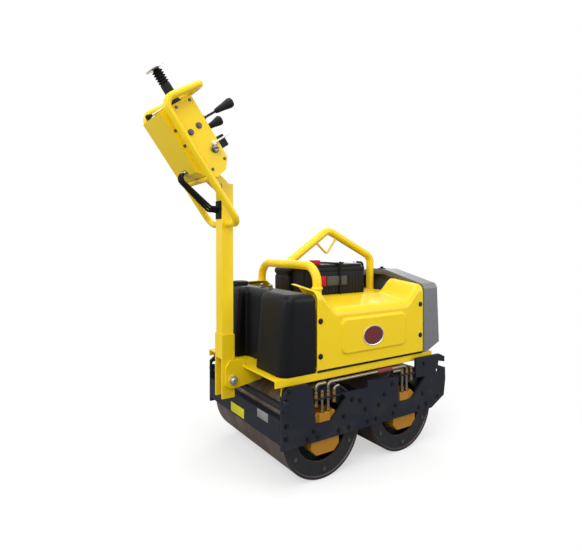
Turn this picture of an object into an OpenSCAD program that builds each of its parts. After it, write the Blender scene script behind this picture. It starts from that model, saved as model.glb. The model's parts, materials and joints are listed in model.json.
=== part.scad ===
// Walk-behind double drum vibratory roller, handle raised for parking.
// Millimetres. +X is forward, +Y is the machine's left, +Z is up.
// The origin lies on the ground, in the middle of the machine's length and width.

/* [Drums] */
// Outer diameter of each drum
drum_d = 406; // [380:1:430]
// Rolling width of each drum
drum_w = 650; // [560:1:760]
// Free space between the two drums
drum_gap = 74; // [64:1:110]
// Thickness of the drum shell
shell_t = 12; // [8:1:16]
// Radius of the open eye in each drum end
drum_eye_r = 130; // [118:1:138]
// Radius of the drum's bolt circle ring
ring_t = 14; // [8:1:20]
// How far the end ring sits inside the drum's edge
ring_inset = 7; // [4:1:12]
// Depth of the inner web behind the drum's edge
web_inset = 78; // [70:1:96]
// Radius of the stub axle that carries the drum
axle_r = 30; // [22:1:36]
// Running clearance of the axle in the hub
axle_clear = 0.05; // [0.02:0.01:0.09]

/* [Lower frame] */
// Thickness of the side plates
plate_t = 12; // [8:1:16]
// Space between a drum's end and the side plate
plate_gap = 15; // [12:1:24]
// Height of the side plate's lower edge
plate_low = 180; // [168:1:190]
// Height of the window sills in the side plate
sill_z = 253; // [240:1:262]
// Height of the middle tower of the side plate
mid_top = 380; // [366:1:386]
// Height of the rear tower
rear_top = 429; // [420:1:440]
// Height of the front tower
front_top = 443; // [432:1:448]
// Reach of the side plate behind the machine's middle
plate_rear = 467; // [460:1:480]
// Reach of the side plate ahead of the machine's middle
plate_front = 530; // [516:1:560]
// Height of the rear and front cross beams
beam_h = 100; // [80:1:108]
// Lower edge of the cross beams
beam_low = 200; // [190:1:204]
// Radius of the tie-down holes in the side plates
tie_hole_r = 11; // [8:1:14]

/* [Upper frame] */
// Top of the platform that carries the body
platform_top = 456; // [450:1:470]
// Thickness of the platform plate
platform_t = 6; // [5:1:10]
// Depth of the platform's folded side rail
rail_h = 32; // [20:1:36]
// How far each side panel stands out past the drum's end
body_over = 5; // [0:1:8]
// Radius of the rubber mounts
mount_r = 34; // [26:1:36]

/* [Body] */
// Rear end of the side panels
panel_x0 = -275; // [-282:1:-265]
// Front end of the side panels
panel_x1 = 382; // [370:1:390]
// Sheet thickness of the panels and hood
sheet_t = 4; // [3:1:6]
// Height of the panel's upper outside edge
panel_top = 800; // [780:1:815]
// Slope of the panel's top towards the middle, in degrees
roof_slope = 5; // [0:0.5:8]
// Height of the panel's shoulder under the scoop
scoop_low = 724; // [700:1:735]
// Height of the deck between the panels
deck_z = 748; // [740:1:756]
// Half width of the deck between the panels
deck_half = 132; // [124:1:150]
// Length of the hood
hood_l = 112; // [90:1:130]
// Height of the hood's middle
hood_top = 862; // [845:1:880]
// Length of the water tank
tank_l = 188; // [170:1:196]
// Height of the water tank's top
tank_top = 792; // [770:1:800]
// Half width of the tank's recess for the handle
tank_recess = 100; // [80:1:110]
// Battery length
battery_l = 335; // [300:1:345]
// Battery width
battery_w = 174; // [150:1:190]
// Battery height above the deck
battery_h = 158; // [140:1:175]

/* [Lifting frame] */
// Tube radius of the lifting frame
lift_r = 20; // [16:1:22]
// Distance of the rear hoop's legs from the outside of the side panels
hoop_inset = 86; // [75:1:105]
// Height of the hoop's top bar
hoop_z = 902; // [890:1:915]
// Height of the lifting point
apex_z = 1072; // [1050:1:1090]

/* [Handle] */
// Height of the handle's pivot
pivot_z = 400; // [390:1:412]
// Distance of the pivot behind the machine's middle
pivot_x = 530; // [524:1:545]
// Radius of the pivot pin
pin_r = 12; // [9:1:14]
// Running clearance of the pivot pin
pin_clear = 0.05; // [0.02:0.01:0.09]
// Width of the column along the machine
col_a = 54; // [46:1:58]
// Width of the column across the machine
col_b = 64; // [54:1:70]
// Height of the column's top
col_top = 1265; // [1220:1:1300]
// Height at which the loop meets the column
loop_z = 1088; // [1060:1:1110]
// Half spacing of the loop's rails
rail_half = 140; // [125:1:160]
// Tube radius of the loop
loop_r = 15; // [12:1:17]
// Backward lean of the loop from upright, in degrees
loop_lean = 35; // [28:1:40]
// Length of the loop's rails
rail_l = 562; // [540:1:600]
// Length of the grip's risers
riser_l = 190; // [170:1:210]
// Rise of the grip above level, in degrees
grip_rise = 31; // [24:1:38]

/* [Hidden] */
$fn = 48;

drum_r = drum_d / 2;
half_w = drum_w / 2;
axle_x = (drum_d + drum_gap) / 2;
plate_in = half_w + plate_gap;
plate_out = plate_in + plate_t;
panel_y = half_w + body_over;
hood_x0 = panel_x1 + 6;
hood_x1 = hood_x0 + hood_l;
tank_x1 = panel_x0 - 5;
tank_x0 = tank_x1 - tank_l;
hoop_half = panel_y - hoop_inset;
lean_s = sin(loop_lean);
lean_c = cos(loop_lean);
col_x = -(pivot_x + 15);
slack = 0.3;

function unit(v) = v / norm(v);
// An upright vector that isn't along v
function aside(v) = abs(unit(v) * [0, 0, 1]) > 0.9 ? [1, 0, 0] : [0, 0, 1];
// Frame whose z runs along v, from the point p
function along(p, v) = let (z = unit(v), x = unit(cross(aside(v), z)), y = cross(z, x))
    [[x[0], y[0], z[0], p[0]], [x[1], y[1], z[1], p[1]], [x[2], y[2], z[2], p[2]], [0, 0, 0, 1]];
function mirrored(pts) = [for (q = pts) [q[0], -q[1], q[2]]];
// A point of the leaning handle: up along the rails, across to the right, out from the rails
function lean_point(up, right, out) =
    [col_x - up * lean_s + out * lean_c, -right, loop_z + up * lean_c + out * lean_s];

module place() translate([mid_x, 0, 0]) children();
module lean() multmatrix([[-lean_s, 0, lean_c, col_x], [0, -1, 0, 0], [lean_c, 0, lean_s, loop_z], [0, 0, 0, 1]])
    children();
module both_sides() { children(); mirror([0, 1, 0]) children(); }
module rod(a, b, r) multmatrix(along(a, b - a)) cylinder(r = r, h = norm(b - a));
// A sheet in the side view: x to the right, z up, from y0 to y1
module side_slab(y0, y1) translate([0, y1, 0]) rotate([90, 0, 0]) linear_extrude(y1 - y0) children();
// A sheet in the end view: y to the right, z up, from x0 to x1
module end_slab(x0, x1) translate([x0, 0, 0]) rotate([90, 0, 90]) linear_extrude(x1 - x0) children();
module round_rect(x0, z0, x1, z1, r) {
    translate([x0 + r, z0]) square([x1 - x0 - 2 * r, z1 - z0]);
    translate([x0, z0 + r]) square([x1 - x0, z1 - z0 - 2 * r]);
    for (x = [x0 + r, x1 - r], z = [z0 + r, z1 - r]) translate([x, z]) circle(r);
}
// A tube along pts, with every corner turned at the radius bend; the straights lap into the bends
lap = 1.5;
lap_r = 0.1;
module bent_tube(pts, r, bend) {
    last = len(pts) - 1;
    dir = [for (i = [0 : last - 1]) unit(pts[i + 1] - pts[i])];
    turn = [for (i = [0 : last]) i == 0 || i == last ? 0 : acos(dir[i - 1] * dir[i])];
    cut = [for (t = turn) bend * tan(t / 2)];
    for (i = [0 : last - 1]) {
        a = pts[i] + dir[i] * (cut[i] - (i > 0 ? lap : 0));
        rod(a, pts[i + 1] - dir[i] * (cut[i + 1] - (i + 1 < last ? lap : 0)), r);
    }
    for (i = [1 : last - 1]) {
        y = dir[i - 1];
        inward = unit(dir[i] - y * (y * dir[i]));
        x = -inward;
        z = cross(x, y);
        c = pts[i] - y * cut[i] + inward * bend;
        multmatrix([[x[0], y[0], z[0], c[0]], [x[1], y[1], z[1], c[1]], [x[2], y[2], z[2], c[2]], [0, 0, 0, 1]])
            rotate_extrude(angle = turn[i]) translate([bend, 0]) circle(r + lap_r);
    }
}

// Drums

hub_r = axle_r + 28;
hub_l = 60;
// One drum about the y axis: shell, end rings, conical webs and hubs in one revolved outline
module drum(x) translate([x, 0, drum_r]) rotate([90, 0, 0]) rotate_extrude($fn = 96) {
    translate([drum_r - shell_t, -half_w]) square([shell_t, drum_w]);
    for (s = [0, 1]) mirror([0, s]) {
        translate([drum_eye_r, half_w - ring_inset - ring_t]) square([drum_r - drum_eye_r - shell_t / 2, ring_t]);
        translate([hub_r - 4, half_w - web_inset - 12]) square([drum_r - hub_r - shell_t / 2 + 4, 12]);
        translate([axle_r + axle_clear, half_w - web_inset - hub_l]) square([hub_r - axle_r - axle_clear, hub_l]);
    }
}
module rear_drum() color("#6b5a4c") drum(-axle_x);
module front_drum() color("#6b5a4c") drum(axle_x);

// Reach of the right carriers' port block behind and ahead of the axle, and the height of its top
port_x = [40, 20];
carrier_half = 75;
carrier_drop = 90;
port_top = drum_r + carrier_drop;
carrier_in = plate_in - (plate_gap + web_inset) + 8;
// Housing on the side plate's inner face, with the stub axle that enters the drum's hub
module carrier(x, s) mirror([0, s, 0]) color("#d8a514") translate([x, 0, drum_r]) {
    side_slab(-plate_in, -carrier_in)
        polygon([[-carrier_half + 28, -carrier_drop], [carrier_half - 28, -carrier_drop],
            [carrier_half, -carrier_drop + 28], [carrier_half, carrier_drop - 28],
            [carrier_half - 28, carrier_drop], [-carrier_half + 28, carrier_drop],
            [-carrier_half, carrier_drop - 28], [-carrier_half, -carrier_drop + 28]]);
    if (s == 0) translate([-port_x[0], -plate_out + 2, sill_z - drum_r])
        cube([port_x[0] + port_x[1], plate_out - 2 - half_w - 6, port_top - sill_z]);
    rod([0, -carrier_in - 1, 0], [0, -(half_w - web_inset - hub_l) - 2, 0], axle_r);
}
module rear_carrier_right() carrier(-axle_x, 0);
module rear_carrier_left() carrier(-axle_x, 1);
module front_carrier_right() carrier(axle_x, 0);
module front_carrier_left() carrier(axle_x, 1);

// Lower frame

steel = "#2b3038";
tie_rear = [-plate_rear + 21, rear_top - 55];
tie_front = [plate_front - 62, front_top - 82];
window_x = [-318, -158, 187, 308];
// Outline of a side plate: a low beam with three towers and a hook at the front
module plate_outline() difference() {
    polygon([
        [-plate_rear, plate_low], [plate_front - 106, plate_low], [plate_front - 12, plate_low + 48],
        [plate_front, plate_low + 131], [plate_front - 3, front_top - 75], [plate_front - 58, front_top - 56],
        [plate_front - 56, front_top - 35], [plate_front - 8, front_top - 45], [plate_front - 8, front_top - 18],
        [plate_front - 48, front_top],
        [window_x[3], front_top], [window_x[3], front_top - 93], [window_x[3] + 68, front_top - 98],
        [window_x[2] + 96, sill_z], [window_x[2], sill_z], [window_x[2], mid_top - 7],
        [window_x[2] - 90, mid_top], [-8, mid_top + 6], [-10, mid_top - 26], [window_x[1], mid_top - 24],
        [window_x[1] + 24, mid_top - 46], [window_x[0] + 100, sill_z], [window_x[0] + 20, sill_z],
        [window_x[0], rear_top - 22], [window_x[0] - 26, rear_top], [-plate_rear + 50, rear_top],
        [-plate_rear, rear_top - 36]]);
    for (q = [tie_rear, tie_front]) translate(q) circle(tie_hole_r);
}
module side_plate(s) mirror([0, s, 0]) color(steel) side_slab(-plate_out, -plate_in) plate_outline();
module side_plate_right() side_plate(0);
module side_plate_left() side_plate(1);

beam_top = beam_low + beam_h;
beam_x = axle_x + drum_r + 13;
lip_l = 20;
// Folded beam across one end, with a lip turned in over the drum
module cross_beam() color(steel) side_slab(-plate_in, plate_in)
    polygon([[-beam_x - plate_t, beam_low], [-beam_x, beam_low], [-beam_x, beam_top - 6],
        [-beam_x + lip_l, beam_top - 6], [-beam_x + lip_l, beam_top], [-beam_x - plate_t, beam_top]]);
module rear_cross_beam() cross_beam();
module front_cross_beam() mirror([1, 0, 0]) cross_beam();
module mid_cross_tube() color(steel) rod([0, -plate_in, beam_top], [0, plate_in, beam_top], 25);

blade_l = 26;
module scraper_blades() color("#1c1c1e") for (s = [0, 1]) mirror([s, 0, 0])
    translate([-beam_x, -half_w + 5, beam_top - 12]) cube([blade_l, drum_w - 10, 6]);

spray_x = axle_x + drum_r - 3;
spray_z = beam_top + 40;
module spray_bars() color("#8b8b8b") for (x = [-spray_x, spray_x])
    rod([x, -plate_in, spray_z], [x, plate_in, spray_z], 14);

mount_x = 405;
mount_z = platform_top - rail_h - mount_r - 3;
bracket_y = plate_in - 34;
module rubber_mounts() color("#151515") both_sides() for (x = [-mount_x, mount_x])
    rod([x, -plate_in, mount_z], [x, -bracket_y, mount_z], mount_r);

// Hydraulic lines on the right side

zinc = "#b9b3a5";
hose_r = 7;
nut_r = 11;
nut_h = 14;
bulkhead_t = 7;
bulkhead_z = [357, 379];
// Hoses hang between the drum's end and the outside of the side plate
hose_y = -(half_w + 16);
rear_ports = [for (i = [0 : 3]) -axle_x - 52 + i * 32];
front_ports = [for (i = [0 : 2]) axle_x - 20 + i * 31];
pipe_z = platform_top - rail_h - hose_r - 3;
sleeve_x = [60, 150];
// A strip across a window of the side plate, held on the plate's inner face, with a row of holes
module bulkhead(x0, x1, z, ports) difference() {
    union() {
        translate([x0 - 20, -plate_in, z - bulkhead_t]) cube([x1 - x0 + 40, plate_gap - 6, bulkhead_t]);
        translate([x0 + 12, -plate_out, z - bulkhead_t]) cube([x1 - x0 - 18, plate_t + 1, bulkhead_t]);
    }
    for (x = ports) translate([x, hose_y, z - bulkhead_t - 1]) cylinder(r = hose_r + 1, h = bulkhead_t + 2);
}
module hose_brackets() color(steel) {
    bulkhead(window_x[0], window_x[1], bulkhead_z[0], rear_ports);
    bulkhead(window_x[2], window_x[3], bulkhead_z[1], front_ports);
}
module nut(x, z) translate([x, hose_y, z]) cylinder(r = nut_r, h = nut_h);
// Rear lines: foot height, top height and forward reach of the bend
rear_lines = [[322, pipe_z, 50], [port_top, 388, 0], [port_top, pipe_z, 0], [326, 392, 26]];
module rear_hoses() color(zinc) for (i = [0 : 3]) {
    x = rear_ports[i];
    q = rear_lines[i];
    reach = i == 2 ? sleeve_x[0] - x : q[2];
    if (reach > 0) bent_tube([[x, hose_y, q[0]], [x, hose_y, q[1]], [x + reach, hose_y, q[1]]], hose_r, 20);
    else rod([x, hose_y, q[0]], [x, hose_y, q[1]], hose_r);
    nut(x, bulkhead_z[0]);
    nut(x, q[0]);
}
// Front lines: foot height, top height and backward reach of the bend
front_lines = [[port_top, pipe_z - 16, 62], [port_top, pipe_z, 0], [340, pipe_z - 6, 0]];
module front_hoses() color(zinc) for (i = [0 : 2]) {
    x = front_ports[i];
    q = front_lines[i];
    reach = i == 1 ? x - sleeve_x[1] : q[2];
    if (reach > 0) bent_tube([[x, hose_y, q[0]], [x, hose_y, q[1]], [x - reach, hose_y, q[1]]], hose_r, 20);
    else rod([x, hose_y, q[0]], [x, hose_y, q[1]], hose_r);
    nut(x, q[0]);
}
module hose_sleeve() color("#7c1f33") rod([sleeve_x[0], hose_y, pipe_z], [sleeve_x[1], hose_y, pipe_z], hose_r + 2.5);

// Upper frame

yellow = "#f2c81d";
rail_y = panel_y - sheet_t;
ear_in = col_b / 2 + 8;
ear_t = 10;
platform_x0 = tank_x0 - 12;
platform_x1 = hood_x1 - 45;
bracket_t = 6;
module ear_outline() polygon([[-pivot_x - 34, pivot_z - 22], [-pivot_x - 34, pivot_z + 56], [-pivot_x - 12, pivot_z + 86],
    [platform_x0 + 4, pivot_z + 86], [platform_x0 + 10, platform_top], [platform_x0 + 102, platform_top],
    [platform_x0 + 102, pivot_z - 18], [-pivot_x + 18, pivot_z - 38], [-pivot_x - 14, pivot_z - 38]]);
module upper_frame() color(yellow) difference() {
    union() {
        translate([platform_x0, -rail_y, platform_top - platform_t])
            cube([platform_x1 - platform_x0, 2 * rail_y, platform_t]);
        both_sides() {
            translate([platform_x0, -rail_y, platform_top - rail_h]) cube([platform_x1 - platform_x0, 6, rail_h]);
            translate([panel_x0, -rail_y, platform_top]) cube([panel_x1 - panel_x0, 5, 24]);
            side_slab(-ear_in - ear_t, -ear_in) ear_outline();
            side_slab(-bracket_y, -bracket_y + bracket_t) for (x = [-mount_x, mount_x]) translate([x, mount_z]) {
                circle(mount_r + 1);
                translate([-mount_r, 0]) square([2 * mount_r, platform_top - platform_t / 2 - mount_z]);
            }
        }
    }
    rod([-pivot_x, -ear_in - ear_t - 1, pivot_z], [-pivot_x, ear_in + ear_t + 1, pivot_z], pin_r + pin_clear);
}
module pivot_pin() color("#c9c9c4") {
    rod([-pivot_x, -ear_in - ear_t, pivot_z], [-pivot_x, ear_in + ear_t, pivot_z], pin_r);
    both_sides() rod([-pivot_x, -ear_in - ear_t - 12, pivot_z], [-pivot_x, -ear_in - ear_t, pivot_z], pin_r + 7);
}

// Body

panel_round = 40;
emboss_t = 5;
emboss_x = [panel_x0 + 130, panel_x1 - 128];
emboss_z = [platform_top + 64, scoop_low - 56];
scoop_x = [-175, 274];
scoop_flare = [60, 76];
leg_x = -212;
front_leg_x = 336;
// End view of a panel's outside, taken in by the amount t
module panel_profile(t) {
    roof = panel_top - t;
    polygon([[-panel_y + t, platform_top + 6 - 2 * t], [-panel_y + t, roof - panel_round],
        [-panel_y + panel_round, roof], [-deck_half, roof + (panel_y - deck_half) * tan(roof_slope)],
        [-deck_half, platform_top + 6 - 2 * t]]);
    translate([-panel_y + panel_round, roof - panel_round]) circle(panel_round - t);
}
// Everything above the scooped middle of a panel
module scoop(t) {
    rise = (deck_z - scoop_low) / (panel_y - deck_half);
    high = panel_top + 60;
    multmatrix([[1, 0, 0, 0], [0, 1, 0, 0], [0, rise, 1, rise * panel_y], [0, 0, 0, 1]])
        side_slab(-panel_y - 1, -deck_half + 1) polygon([[scoop_x[0] - t, scoop_low - t], [scoop_x[1] + t, scoop_low - t],
            [scoop_x[1] + t + scoop_flare[1] * 1.8, high], [scoop_x[0] - t - scoop_flare[0] * 1.8, high]]);
}
module panel_form(t) difference() {
    end_slab(panel_x0 - t, panel_x1 + t) panel_profile(t);
    scoop(t);
}
module side_panel(s) mirror([0, s, 0]) color(yellow) {
    difference() {
        panel_form(0);
        panel_form(sheet_t);
        translate([leg_x, -hoop_half, panel_top - 60]) cylinder(r = lift_r + 3, h = 140);
    }
    side_slab(-panel_y - emboss_t, -panel_y + 1) round_rect(emboss_x[0], emboss_z[0], emboss_x[1], emboss_z[1], 30);
}
module side_panel_right() side_panel(0);
module side_panel_left() side_panel(1);

deck_t = 6;
deck_x = [panel_x0 + 20, panel_x1 - 4];
// Inverted channel on the platform that carries the battery between the panels
module deck() color(yellow) difference() {
    end_slab(deck_x[0], deck_x[1]) difference() {
        translate([-deck_half, platform_top]) square([2 * deck_half, deck_z - platform_top]);
        translate([-deck_half + deck_t, platform_top - 1]) square([2 * (deck_half - deck_t), deck_z - platform_top - deck_t + 1]);
    }
    translate([front_leg_x, 0, deck_z - 40]) cylinder(r = lift_r + 3, h = 80);
}
engine_x = [deck_x[0] + 215, front_leg_x - lift_r - 16];
module engine_block() color("#3a3a3c") translate([engine_x[0], -deck_half + deck_t + 8, platform_top])
    cube([engine_x[1] - engine_x[0], 2 * (deck_half - deck_t - 8), deck_z - platform_top - 40]);

hinge_x = hood_x1 - 13;
hinge_z = platform_top + 2;
hinge_r = 6;
hinge_clear = 0.05;
lug_r = 15;
hinge_y = [200, 240];
lug_t = 8;
// End view of the hood's outside, taken in by the amount t
module hood_profile(t) {
    low = platform_top + 6 - t * 9;
    eave = panel_top + 4;
    polygon([[-panel_y + t, low], [panel_y - t, low], [panel_y - t, eave - 30], [panel_y - 30, eave - t],
        [60, hood_top - t], [-60, hood_top - t], [-panel_y + 30, eave - t], [-panel_y + t, eave - 30]]);
    for (s = [-1, 1]) translate([s * (panel_y - 30), eave - 30]) circle(30 - t);
}
// Side view of the hood's outside, open behind and below
module hood_side(t) polygon([[hood_x0 - t * 9, platform_top - t * 9], [hood_x0 + 16 - t, platform_top - t * 9],
    [hood_x1 + 6 - t, platform_top + 44], [hood_x1 - 16 - t, hood_top + 1], [hood_x0 - t * 9, hood_top + 1]]);
module hood_form(t) intersection() {
    end_slab(hood_x0 - 40, hood_x1 + 40) hood_profile(t);
    side_slab(-panel_y - 1, panel_y + 1) hood_side(t);
}
module hood_lug() difference() {
    union() {
        translate([hinge_x, hinge_z]) circle(lug_r);
        polygon([[hinge_x - 4, hinge_z + lug_r - 1], [hinge_x + lug_r, hinge_z - 2],
            [hood_x1 + 2, platform_top + 50], [hood_x1, platform_top + 90]]);
    }
    translate([hinge_x, hinge_z]) circle(hinge_r + hinge_clear);
}
module front_hood() color("#8f9096") {
    difference() { hood_form(0); hood_form(sheet_t); }
    both_sides() for (y = hinge_y) side_slab(-y - lug_t / 2, -y + lug_t / 2) hood_lug();
}
// Brackets on the platform's front edge that hold the hood's hinge pins
module hood_hinges() color("#3a3d42") both_sides() {
    side_slab(-hinge_y[1] + lug_t, -hinge_y[0] - lug_t) {
        translate([hinge_x, hinge_z]) circle(hinge_r + 5);
        translate([platform_x1, platform_top - platform_t]) square([hinge_x - platform_x1, platform_t + 6]);
    }
    rod([hinge_x, -hinge_y[1] - lug_t, hinge_z], [hinge_x, -hinge_y[0] + lug_t, hinge_z], hinge_r);
}

tank_round = 36;
recess_d = 70;
tank_lean = 30;
tank_t = 7;
// Side view of the tank, taken in by the amount t
module tank_side(t) intersection() {
    union() {
        round_rect(tank_x0 + t, platform_top - 2 * t, tank_x1 - t, tank_top - t, tank_round - t);
        translate([tank_x0 + t, platform_top - 2 * t]) square([tank_l - 2 * t, 200]);
    }
    polygon([[tank_x0 + t, 0], [tank_x1, 0], [tank_x1, tank_top], [tank_x0 + t + tank_lean, tank_top]]);
}
// Plan of the tank with the recess for the handle, taken in by the amount t
module tank_plan(t) difference() {
    round_rect(tank_x0 + t, -panel_y + t, tank_x1 - t, panel_y - t, tank_round - 6 - t);
    translate([tank_x0 - 1, -tank_recess - t]) square([recess_d + t, 2 * (tank_recess + t)]);
}
// End view of the tank, with its upper corners round, taken in by the amount t
module tank_end(t) union() {
    round_rect(-panel_y + t, platform_top - 2 * t, panel_y - t, tank_top - t, tank_round - t);
    translate([-panel_y + t, platform_top - 2 * t]) square([2 * (panel_y - t), 200]);
}
module tank_form(t) intersection() {
    side_slab(-panel_y - 1, panel_y + 1) tank_side(t);
    end_slab(tank_x0 - 1, tank_x1 + 1) tank_end(t);
    translate([0, 0, platform_top - 3 * t]) linear_extrude(tank_top - platform_top + 4 * t + 1) tank_plan(t);
}
// Moulded shell whose open foot the platform closes
module water_tank() color("#17181b") difference() { tank_form(0); tank_form(tank_t); }
// Filler cap on the tank's left half
cap_r = 41;
cap_h = 20;
cap_y = panel_y - 115;
cap_x = (tank_x0 + tank_lean + tank_x1) / 2;
module tank_caps() color("#101012") translate([cap_x, cap_y, tank_top]) cylinder(r = cap_r, h = cap_h);

arch_shoulder = 930;
eye_r = 6;
module lifting_frame() color(yellow) {
    bent_tube([[leg_x, -hoop_half, platform_top], [leg_x, -hoop_half, hoop_z], [leg_x, hoop_half, hoop_z],
        [leg_x, hoop_half, platform_top]], lift_r, 80);
    bent_tube([[leg_x, 0, hoop_z], [38, 0, apex_z], [front_leg_x, 0, arch_shoulder],
        [front_leg_x, 0, platform_top]], lift_r, 50);
    bent_tube([[-46, 0, apex_z - 56], [32, 0, apex_z - 122], [104, 0, apex_z - 30]], eye_r, 14);
}

battery_x0 = -122;
battery_z0 = deck_z;
module battery() color("#18181a") translate([battery_x0, -battery_w / 2, battery_z0]) {
    cube([battery_l, battery_w, battery_h - 22]);
    translate([6, 6, battery_h - 23]) cube([battery_l - 12, battery_w - 12, 15]);
}
clamp_x = battery_x0 + battery_l / 2;
clamp_y = battery_w / 2 + 9;
// Bar over the battery with two rods down to the deck
module battery_clamp() color("#202022") {
    translate([clamp_x - 12, -clamp_y - 6, battery_z0 + battery_h - 8]) cube([24, 2 * clamp_y + 12, 8]);
    both_sides() rod([clamp_x, -clamp_y, deck_z], [clamp_x, -clamp_y, battery_z0 + battery_h + 6], 4);
}

// Air cleaner that stands on the deck's left edge, beside the battery
cleaner_gap = 7;
cleaner_l = 172;
cleaner_w = 134;
cleaner_h = 128;
cleaner_round = 16;
cleaner_x0 = battery_x0 - 24;
cleaner_y0 = battery_w / 2 + cleaner_gap;
module air_cleaner() color("#161618") end_slab(cleaner_x0, cleaner_x0 + cleaner_l)
    round_rect(cleaner_y0, deck_z, cleaner_y0 + cleaner_w, deck_z + cleaner_h, cleaner_round);

// Handle

fork_t = 10;
tube_t = 5;
neck_foot = col_top - 90;
sleeve_t = 6;
sleeve_z = [pivot_z + 92, pivot_z + 200];
fork_low = pivot_z - 82;
fork_x = [col_x - col_a / 2 - sleeve_t + 3, col_x + col_a / 2 + sleeve_t - 3];
fork_y = col_b / 2 + sleeve_t;
module handle_column() color(yellow) difference() {
    union() {
        translate([col_x - col_a / 2, -col_b / 2, sleeve_z[0]]) cube([col_a, col_b, col_top - sleeve_z[0]]);
        translate([fork_x[0], -fork_y, sleeve_z[0]]) cube([fork_x[1] - fork_x[0], 2 * fork_y, sleeve_z[1] - sleeve_z[0]]);
        both_sides() translate([fork_x[0], -fork_y, fork_low]) cube([fork_x[1] - fork_x[0], fork_t, sleeve_z[0] - fork_low + 1]);
        lean() side_slab(-col_b / 2 + 5, col_b / 2 - 5) polygon([neck_low, neck_high, neck_high - [66, -18], neck_low - [90, -26]]);
    }
    rod([-pivot_x, -fork_y - 1, pivot_z], [-pivot_x, fork_y + 1, pivot_z], pin_r + pin_clear);
    // The column is a tube, open at its foot between the fork's cheeks
    translate([col_x - col_a / 2 + tube_t, -col_b / 2 + tube_t, sleeve_z[0] - 1])
        cube([col_a - 2 * tube_t, col_b - 2 * tube_t, neck_foot - sleeve_z[0]]);
}

grip = [cos(grip_rise), 0, sin(grip_rise)];
bend_pt = lean_point(rail_l, rail_half, 0);
loop_half = [[col_x, -col_b / 2, loop_z], [col_x, -rail_half, loop_z], bend_pt, bend_pt + riser_l * grip];
loop_path = concat(loop_half, mirrored([for (i = [3 : -1 : 0]) loop_half[i]]));
module handle_loop() color(yellow) bent_tube(loop_path, loop_r, 42);

// Gap between the box and each rail
box_gap = 13;
box_half = rail_half - loop_r - box_gap;
box_up = [215, 530];
box_out = [-28, 128];
neck_low = [box_up[0] - 12, 40];
neck_high = [box_up[0] - 6, 92];
module box_side() polygon([neck_low, [box_up[0] + 20, box_out[0] + 20], [box_up[0] + 50, box_out[0]],
    [box_up[1], box_out[0]], [box_up[1], box_out[1]], [box_up[0] + 34, box_out[1]], neck_high]);
// The room inside the box, open towards the column
module box_room() polygon([[box_up[0] - 30, 52], [box_up[0] + 58, box_out[0] + 20], [box_up[0] + 62, box_out[0] + sheet_t],
    [box_up[1] - sheet_t, box_out[0] + sheet_t], [box_up[1] - sheet_t, box_out[1] - sheet_t],
    [box_up[0] + 50, box_out[1] - sheet_t], [box_up[0] - 30, 74]]);
module control_box() color(yellow) {
    difference() {
        lean() side_slab(-box_half, box_half) box_side();
        lean() side_slab(-box_half + sheet_t, box_half - sheet_t) box_room();
    }
    // Cross tube that joins the box to the rails
    lean() rod([box_up[0] + 4, -rail_half + loop_r, 0], [box_up[0] + 4, rail_half - loop_r, 0], 12);
}

plunger_out = 107;
plunger_r = 17;
rib_h = 6;
rib_step = 14;
plunger_up = [box_up[1], 686];
module stop_plunger() color("#121214") lean() {
    translate([plunger_up[0], 0, plunger_out]) rotate([0, 90, 0]) {
        cylinder(r = plunger_r, h = plunger_up[1] - plunger_up[0]);
        for (i = [0 : 6]) translate([0, 0, 40 + i * rib_step]) cylinder(r = plunger_r + rib_h, h = rib_step / 2);
    }
}
disc_r = 44;
disc_t = 7;
module plunger_disc() color("#d9dadb") lean() translate([plunger_up[1], 0, plunger_out]) rotate([0, 90, 0])
    cylinder(r = disc_r, h = disc_t);
// The machine's middle lies this far ahead of the origin, which halves the overall length
mid_x = -(plate_front + lean_point(plunger_up[1] + disc_t, 0, plunger_out - disc_r)[0]) / 2;

// Each lever's place up the box and to the right, and its height
travel_at = [430, 50];
travel_h = 186;
vibration_at = [388, -50];
vibration_h = 150;
boot_r = 26;
boot_h = 24;
valve_at = [288, 60];
valve_size = [52, 46, 40];
module lever(at, h) lean() let (up = at[0], right = at[1], out = box_out[1]) {
    // Rubber boot round the lever's foot
    translate([up, right, out]) {
        cylinder(r = boot_r, h = boot_h / 3);
        cylinder(r1 = boot_r - 4, r2 = 9, h = boot_h);
    }
    rod([up, right, out], [up, right, out + h * 0.5], 5);
    translate([up, right, out + h * 0.5]) cylinder(r1 = 12, r2 = 22, h = h * 0.4);
    translate([up, right, out + h * 0.9]) cylinder(r = 22, h = h * 0.1);
}
module travel_lever() color("#111113") lever(travel_at, travel_h);
module vibration_lever() color("#111113") lever(vibration_at, vibration_h);
module valve_block() color("#17181a") lean() translate([valve_at[0], valve_at[1], box_out[1]]) cube(valve_size);
module box_buttons() color("#8a7f6a") lean() for (q = [[408, 42, 12], [415, 88, 10]])
    translate([q[0], box_half, q[1]]) rotate([-90, 0, 0]) cylinder(r = q[2], h = 6);
cable_up = box_up[0] + 66;
cable_z = loop_z + 56;
// Cables leave the box square to its underside and enter the column square to its rear face
module control_cables() color("#161616") for (i = [0 : 2]) let (right = -18 + i * 18)
    bent_tube([lean_point(cable_up, right, box_out[0]), lean_point(cable_up, right, box_out[0] - 40),
        [col_x - col_a / 2 - 45, -right, cable_z + i * 8], [col_x - col_a / 2, -right, cable_z + i * 8]], 5.5, 24);

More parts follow.
